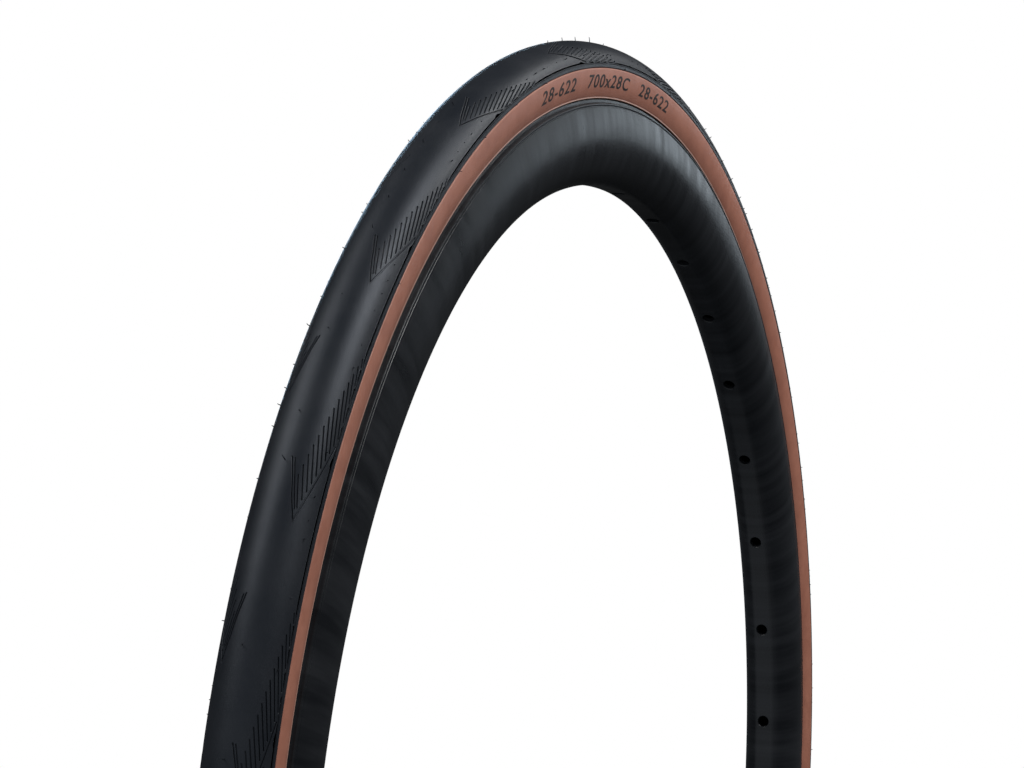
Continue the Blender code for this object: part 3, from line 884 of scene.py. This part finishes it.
def flat_text():
    """Outlines of the line of print as a flat mesh, cut fine enough to be bent round the tyre."""
    curve = bpy.data.curves.new("print", "FONT")
    curve.body = PRINT_TEXT
    curve.size = PRINT_SIZE
    curve.shear = 0.18
    curve.space_character = 1.16
    curve.offset = 0.1
    curve.align_x = "CENTER"
    curve.align_y = "CENTER"
    text = new_object("print", curve)
    bpy.context.view_layer.update()
    evaluated = text.evaluated_get(bpy.context.evaluated_depsgraph_get())
    mesh = bpy.data.meshes.new_from_object(evaluated)
    bpy.data.objects.remove(text)
    bm = bmesh.new()
    bm.from_mesh(mesh)
    bm.transform(Matrix.Diagonal((PRINT_STRETCH, 1, 1, 1)))
    bmesh.ops.dissolve_limit(bm, angle_limit=0.02, verts=bm.verts, edges=bm.edges)
    reach = [v.co.x for v in bm.verts]
    cuts = [((x, 0, 0), (1, 0, 0)) for x in np.arange(min(reach), max(reach), 3.0)]
    cuts += [((0, y, 0), (0, 1, 0)) for y in np.arange(-4.5, 4.6, 0.9)]
    for point, normal in cuts:
        geometry = bm.verts[:] + bm.edges[:] + bm.faces[:]
        bmesh.ops.bisect_plane(bm, geom=geometry, plane_co=point, plane_no=normal, dist=1e-5)
    bmesh.ops.triangulate(bm, faces=[f for f in bm.faces if len(f.verts) > 4])
    return bm


def build_print(side, angle):
    """Plain size figures standing a hair proud of the sidewall; they read along the tyre."""
    bm = flat_text()
    middle = length_at(1.0) + PRINT_DROP
    walls = bmesh.ops.extrude_face_region(bm, geom=bm.faces[:])
    raised = {g for g in walls["geom"] if isinstance(g, bmesh.types.BMVert)}
    radius = TYRE.at(middle)[1]
    for vert in bm.verts:
        y, r = TYRE.at(middle - vert.co.y, -PRINT_RISE if vert in raised else PRINT_ROOT)
        turn = angle + side * math.degrees(vert.co.x / radius)
        vert.co = Vector(about_axle(side * y, r, turn) * MM)
    bmesh.ops.recalc_face_normals(bm, faces=bm.faces[:])
    mesh = bpy.data.meshes.new("print")
    bm.to_mesh(mesh)
    bm.free()
    mesh.polygons.foreach_set("use_smooth", [True] * len(mesh.polygons))
    mesh.set_sharp_from_angle(angle=math.radians(40))
    return new_object(f"size_print_{'left' if side < 0 else 'right'}_{int(angle)}", mesh)


# ---- materials ----


def fill(node, **values):
    """Sets a node's inputs by their names, written with _ for a space."""
    for name, value in values.items():
        node.inputs[name.replace("_", " ")].default_value = value


class Look:
    """One node material being built."""

    def __init__(self, name, color, roughness, metallic=0.0):
        self.material = bpy.data.materials.new(name)
        self.material.use_nodes = True
        self.nodes, self.links = self.material.node_tree.nodes, self.material.node_tree.links
        self.shader = self.nodes["Principled BSDF"]
        fill(self.shader, Base_Color=(*color, 1), Roughness=roughness, Metallic=metallic)
        self.place = self.nodes.new("ShaderNodeTexCoord").outputs["Object"]
        self.bump = None

    def math(self, operation, a, b=0.0, c=0.0):
        node = self.nodes.new("ShaderNodeMath")
        node.operation = operation
        for socket, value in zip(node.inputs, (a, b, c)):
            self.put(socket, value)
        return node.outputs[0]

    def put(self, socket, value):
        if isinstance(value, bpy.types.NodeSocket):
            self.links.new(value, socket)
        else:
            socket.default_value = value

    def noise(self, scale, detail=3.0, roughness=0.5, vector=None):
        node = self.nodes.new("ShaderNodeTexNoise")
        fill(node, Scale=scale, Detail=detail, Roughness=roughness)
        self.links.new(vector or self.place, node.inputs["Vector"])
        return node.outputs[0]

    def ring(self):
        """Angle in radians, distance from the middle plane and radius, in metres."""
        split = self.nodes.new("ShaderNodeSeparateXYZ")
        self.links.new(self.place, split.inputs[0])
        x, y, z = split.outputs
        squares = self.math("ADD", self.math("MULTIPLY", x, x), self.math("MULTIPLY", z, z))
        return self.math("ARCTAN2", z, x), y, self.math("SQRT", squares)

    def around(self, stretch, across, outward):
        """A place on a circle, so that noise is continuous round the wheel."""
        angle, y, radius = self.ring()
        places = [self.math("MULTIPLY", self.math(wave, angle), stretch) for wave in ("COSINE", "SINE")]
        outwards = self.math("MULTIPLY", radius, outward)
        places.insert(1, self.math("MULTIPLY_ADD", y, across, outwards))
        join = self.nodes.new("ShaderNodeCombineXYZ")
        for socket, place in zip(join.inputs, places):
            self.put(socket, place)
        return join.outputs[0]

    def ramp(self, value, stops):
        node = self.nodes.new("ShaderNodeValToRGB")
        while len(node.color_ramp.elements) < len(stops):
            node.color_ramp.elements.new(1.0)
        for element, (position, color) in zip(node.color_ramp.elements, stops):
            element.position = position
            element.color = (*color, 1)
        self.put(node.inputs[0], value)
        return node.outputs[0]

    def range(self, value, low, high, from_low=0.0, from_high=1.0):
        node = self.nodes.new("ShaderNodeMapRange")
        for socket, number in zip(node.inputs[1:5], (from_low, from_high, low, high)):
            socket.default_value = number
        self.put(node.inputs[0], value)
        return node.outputs[0]

    def mix(self, factor, a, b):
        node = self.nodes.new("ShaderNodeMix")
        node.data_type = "RGBA"
        self.put(node.inputs[0], factor)
        for socket, value in ((node.inputs[6], a), (node.inputs[7], b)):
            self.put(socket, (*value, 1) if isinstance(value, tuple) else value)
        return node.outputs[2]

    def color(self, value):
        self.put(self.shader.inputs["Base Color"], value)

    def rough(self, value):
        self.put(self.shader.inputs["Roughness"], value)

    def mottle(self, scale, detail, *stops):
        """Colour by noise, through a ramp of (position, colour) stops."""
        self.color(self.ramp(self.noise(scale, detail), stops))

    def polish(self, scale, low, high, detail=3.0):
        """Roughness by noise, between two values."""
        self.rough(self.range(self.noise(scale, detail), low, high))

    def add_bump(self, height, distance, strength=1.0):
        node = self.nodes.new("ShaderNodeBump")
        fill(node, Strength=strength, Distance=distance * MM)
        self.put(node.inputs["Height"], height)
        if self.bump:
            self.links.new(self.bump, node.inputs["Normal"])
        self.bump = node.outputs[0]
        self.put(self.shader.inputs["Normal"], self.bump)

    def threads(self, count, slant):
        """Waves round the wheel that lean across it; slant is in radians of phase a metre."""
        angle, y, radius = self.ring()
        lean = self.math("MULTIPLY", self.math("SUBTRACT", self.math("ABSOLUTE", y), radius), slant)
        return self.math("SINE", self.math("MULTIPLY_ADD", angle, float(count), lean))

    def weave(self, operation, count, slant):
        """Two sets of threads that cross each other."""
        return self.math(operation, self.threads(count, slant), self.threads(count, -slant))


def tread_material():
    look = Look("tread_rubber", (0.012, 0.014, 0.018), 0.42)
    look.mottle(55.0, 4.0, (0.3, (0.0085, 0.0105, 0.0145)), (0.7, (0.0165, 0.0185, 0.0225)))
    look.polish(900.0, 0.36, 0.5)
    look.add_bump(look.weave("MULTIPLY", 4200, 12000.0), 0.006)
    look.add_bump(look.noise(2600.0, 3.0, 0.6), 0.05)
    fill(look.shader, Specular_IOR_Level=0.27, Specular_Tint=(0.82, 0.89, 1.0, 1))
    return look.material


def bronze_material():
    look = Look("bronze_rubber", (0.24, 0.085, 0.052), 0.5)
    stops = [(0.3, (0.34, 0.122, 0.077)), (0.72, (0.45, 0.178, 0.116))]
    mottled = look.ramp(look.noise(120.0, 5.0, 0.6), stops)
    _, _, radius = look.ring()
    # painted shade: the colour is darker towards the sidewall's foot, over its lowest 5 mm
    foot = look.range(radius, 1.0, 0.0, FOOT_RADIUS * MM, (FOOT_RADIUS + 5.0) * MM)
    painted_foot_shade = look.mix(look.math("MULTIPLY", foot, 0.35), mottled, (0.150, 0.056, 0.044))
    cords = look.weave("MAXIMUM", 3300, 9500.0)
    # painted highlight: a lighter line along the rolled edge at the sidewall's foot
    painted_edge_highlight = look.range(radius, 0.85, 0.0, (FOOT_RADIUS - 0.1) * MM, (FOOT_RADIUS + 0.45) * MM)
    edged = look.mix(painted_edge_highlight, painted_foot_shade, (0.50, 0.31, 0.25))
    look.color(look.mix(look.range(cords, 0.0, 0.16, -1.0, 1.0), edged, (0.40, 0.19, 0.125)))
    look.polish(1500.0, 0.40, 0.52)
    fill(look.shader, Specular_IOR_Level=0.7)
    look.add_bump(cords, 0.02)
    look.add_bump(look.noise(1800.0, 3.0, 0.6), 0.05)
    return look.material


def rim_material():
    look = Look("carbon", (0.012, 0.013, 0.015), 0.34)
    streaks = look.noise(1.0, 5.0, 0.62, look.around(46.0, 6.0, 14.0))
    cloud = look.noise(22.0, 3.0)
    grain = look.noise(3200.0, 2.0)
    tone = look.math("ADD", look.math("MULTIPLY", streaks, 0.7), look.math("MULTIPLY", cloud, 0.3))
    look.color(look.ramp(tone, [(0.38, (0.0075, 0.0085, 0.0105)), (0.62, (0.0165, 0.018, 0.021))]))
    look.rough(look.range(tone, 0.27, 0.44, 0.35, 0.65))
    fill(look.shader, Specular_IOR_Level=0.2)
    look.add_bump(streaks, 0.05, 0.35)
    look.add_bump(grain, 0.02)
    return look.material


def print_material():
    look = Look("size_print", (0.012, 0.011, 0.011), 0.55)
    look.mottle(900.0, 4.0, (0.35, (0.008, 0.008, 0.009)), (0.75, (0.028, 0.022, 0.020)))
    look.polish(2200.0, 0.45, 0.65)
    look.add_bump(look.noise(2400.0, 3.0), 0.03)
    return look.material


def cloth_material(name, dark, light, count, slant, roughness=0.75):
    look = Look(name, light, roughness)
    over = look.weave("MULTIPLY", count, slant)
    wear = look.range(look.noise(300.0), 0.6, 1.0)
    share = look.math("MULTIPLY", look.range(over, 0.0, 1.0, -1.0, 1.0), wear)
    look.color(look.mix(share, dark, light))
    look.polish(1200.0, roughness - 0.08, roughness + 0.08)
    look.add_bump(over, 0.06)
    look.add_bump(look.noise(3500.0, 2.0), 0.03)
    return look.material


def rubber_material(name, low, high, rough_low, rough_high, bump=0.04):
    look = Look(name, low, rough_low)
    look.mottle(260.0, 4.0, (0.3, low), (0.7, high))
    look.polish(900.0, rough_low, rough_high)
    look.add_bump(look.noise(2000.0, 3.0, 0.55), bump)
    return look.material


def metal_material(name, low, high, roughness):
    look = Look(name, low, roughness, 1.0)
    look.mottle(420.0, 4.0, (0.3, low), (0.7, high))
    look.polish(1600.0, roughness - 0.07, roughness + 0.1, 4.0)
    lines = look.nodes.new("ShaderNodeMapping")
    fill(lines, Scale=(1.0, 1.0, 22.0))
    look.links.new(look.place, lines.inputs["Vector"])
    look.add_bump(look.noise(500.0, 3.0, 0.6, lines.outputs[0]), 0.015)
    return look.material


CLOTHS = (
    ("casing_cord", (0.05, 0.04, 0.03), (0.12, 0.10, 0.08), 2600, 7600.0),
    ("belt_weave", (0.20, 0.18, 0.08), (0.40, 0.37, 0.20), 1500, 4400.0),
    ("aramid_cord", (0.34, 0.24, 0.06), (0.62, 0.48, 0.15), 1800, 5200.0, 0.6),
    ("tape_cloth", (0.05, 0.09, 0.22), (0.13, 0.20, 0.40), 2200, 6900.0, 0.65),
)
RUBBERS = (
    ("butyl", (0.011, 0.011, 0.012), (0.024, 0.024, 0.026), 0.42, 0.58),
    ("cap_plastic", (0.014, 0.014, 0.015), (0.026, 0.026, 0.028), 0.34, 0.48, 0.02),
)
METALS = (
    ("valve_metal", (0.48, 0.48, 0.49), (0.60, 0.60, 0.61), 0.28),
    ("brass", (0.55, 0.38, 0.14), (0.68, 0.50, 0.22), 0.30),
)


def make_materials():
    made = {
        "tread_rubber": tread_material(),
        "bronze_rubber": bronze_material(),
        "carbon": rim_material(),
        "size_print": print_material(),
    }
    tables = ((CLOTHS, cloth_material), (RUBBERS, rubber_material), (METALS, metal_material))
    for rows, build in tables:
        made.update({row[0]: build(*row) for row in rows})
    return made


# ---- camera, light, floor ----


def make_camera():
    yaw, pitch, roll = (math.radians(a) for a in CAMERA_TURN)
    level = math.cos(pitch)
    forward = Vector((level * math.sin(yaw), level * math.cos(yaw), math.sin(pitch)))
    right = Vector((math.cos(yaw), -math.sin(yaw), 0))
    up = right.cross(forward)
    x = math.cos(roll) * right + math.sin(roll) * up
    y = -math.sin(roll) * right + math.cos(roll) * up
    data = bpy.data.cameras.new("camera")
    data.sensor_width = SENSOR_WIDTH
    data.lens = CAMERA_LENS
    camera = new_object("camera", data)
    matrix = Matrix((x, y, -forward)).transposed().to_4x4()
    matrix.translation = Vector(CAMERA_PLACE)
    camera.matrix_world = matrix
    bpy.context.scene.camera = camera


def add_light(name, location, target, size, power, color=(1, 1, 1)):
    data = bpy.data.lights.new(name, "AREA")
    data.shape = "RECTANGLE"
    data.size, data.size_y = size
    data.energy = power
    data.color = color
    light = new_object(name, data)
    light.location = location
    direction = Vector(target) - Vector(location)
    light.rotation_euler = direction.to_track_quat("-Z", "Y").to_euler()


def make_world():
    """A dim studio with one brighter side, low on the left, seen by the object; white behind it."""
    world = bpy.data.worlds.new("studio")
    bpy.context.scene.world = world
    world.use_nodes = True
    nodes, links = world.node_tree.nodes, world.node_tree.links
    direction = nodes.new("ShaderNodeTexCoord")
    side = nodes.new("ShaderNodeVectorMath")
    side.operation = "DOT_PRODUCT"
    side.inputs[1].default_value = (-0.9, 0.0, -0.6)
    glow = nodes.new("ShaderNodeMapRange")
    fill(glow, From_Min=0.40, From_Max=1.0, To_Min=0.045, To_Max=0.75)
    links.new(direction.outputs["Generated"], side.inputs[0])
    links.new(side.outputs["Value"], glow.inputs["Value"])
    background = nodes["Background"]
    fill(background, Color=(0.9, 0.95, 1.0, 1))
    links.new(glow.outputs["Result"], background.inputs["Strength"])
    white = nodes.new("ShaderNodeBackground")
    fill(white, Color=(1, 1, 1, 1))
    path = nodes.new("ShaderNodeLightPath")
    mix = nodes.new("ShaderNodeMixShader")
    links.new(path.outputs["Is Camera Ray"], mix.inputs[0])
    links.new(background.outputs[0], mix.inputs[1])
    links.new(white.outputs[0], mix.inputs[2])
    links.new(mix.outputs[0], nodes["World Output"].inputs["Surface"])


def make_floor():
    """A plain pale floor that the tyre stands on; the object's own shading doesn't see it."""
    size, z = FLOOR_HALF_SIZE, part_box("tread_cap")[0].z - FLOOR_GAP
    corners = [(-size, -size, z), (size, -size, z), (size, size, z), (-size, size, z)]
    mesh = bpy.data.meshes.new("floor")
    mesh.from_pydata(corners, [], [(0, 1, 2, 3)])
    floor = new_object("floor", mesh)
    look = Look("floor", (0.8, 0.8, 0.8), 0.7)
    look.mottle(6.0, 3.0, (0.3, (0.70, 0.70, 0.70)), (0.7, (0.75, 0.75, 0.75)))
    mesh.materials.append(look.material)
    floor.visible_diffuse = False
    floor.visible_glossy = False


# ---- the whole ----


def build_pieces():
    """Every piece as (object, CAD nodes that it stands for, body, record slot)."""
    made = [
        (build_tread(), ["tread_cap"], "wheel", "tread_rubber"),
        (build_vents(), [], "wheel", "tread_rubber"),
        (ring("belt_weave", belt_outline(), 240), ["puncture_belt"], "wheel", "belt_weave"),
        (ring("casing_ply", casing_outline(), 240), ["casing"], "wheel", "casing_cord"),
        (build_tube(), ["inner_tube"], "wheel", "butyl"),
        (ring("rim_tape_band", tape_outline(), 360), ["rim_tape"], "wheel", "tape_cloth"),
        (build_rim(), ["rim"], "wheel", "carbon"),
    ]
    for side, name in ((-1, "left"), (1, "right")):
        core = ring("bead_cord_" + name, core_outline(side), 240)
        chafer = ring("chafer_strip_" + name, chafer_outline(side), 240)
        made += [
            (build_skin(side), ["sidewall_" + name], "wheel", "bronze_rubber"),
            (core, ["bead_core_" + name], "wheel", "aramid_cord"),
            (chafer, ["chafer_" + name], "wheel", "casing_cord"),
        ]
        made += [(build_print(side, angle), [], "wheel", "tread_rubber") for angle in PRINT_ANGLES]
    return made + build_valve()


looks = make_materials()
for piece, nodes, body, slot in build_pieces():
    look_name = "size_print" if piece.name.startswith("size_print") else slot
    piece.data.materials.append(looks[look_name])
    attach(piece, body)
    if nodes:
        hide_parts(*nodes)

make_camera()
make_world()
make_floor()
add_light("far_side", (-1.05, 1.2, 1.7), (-0.28, 0, 0.1), (1.2, 1.2), 15)
add_light("near_side", (-0.5, -1.48, 1.8), (-0.25, 0, 0.1), (1.1, 0.8), 22)
add_light("overhead", (-0.25, -1.4, 2.15), (-0.1, 0, 0.2), (0.7, 0.5), 23)
add_light("left_end", (-1.5, 1.15, 1.2), (0, 0, 0), (0.5, 0.5), 8)
add_light("behind", (1.35, -1.2, 1.85), (-0.1, 0, 0.2), (0.8, 0.5), 14)
add_light("far_end", (2.1, -0.6, 1.1), (0, 0, 0.3), (0.7, 0.4), 2.2, (0.80, 0.91, 1.0))
add_light("right_behind", (1.9, 1.3, 1.0), (0, 0, 0.1), (0.8, 0.8), 17, (0.50, 0.75, 1.0))
bpy.context.scene.view_settings.view_transform = "Standard"

bpy.context.view_layer.update()
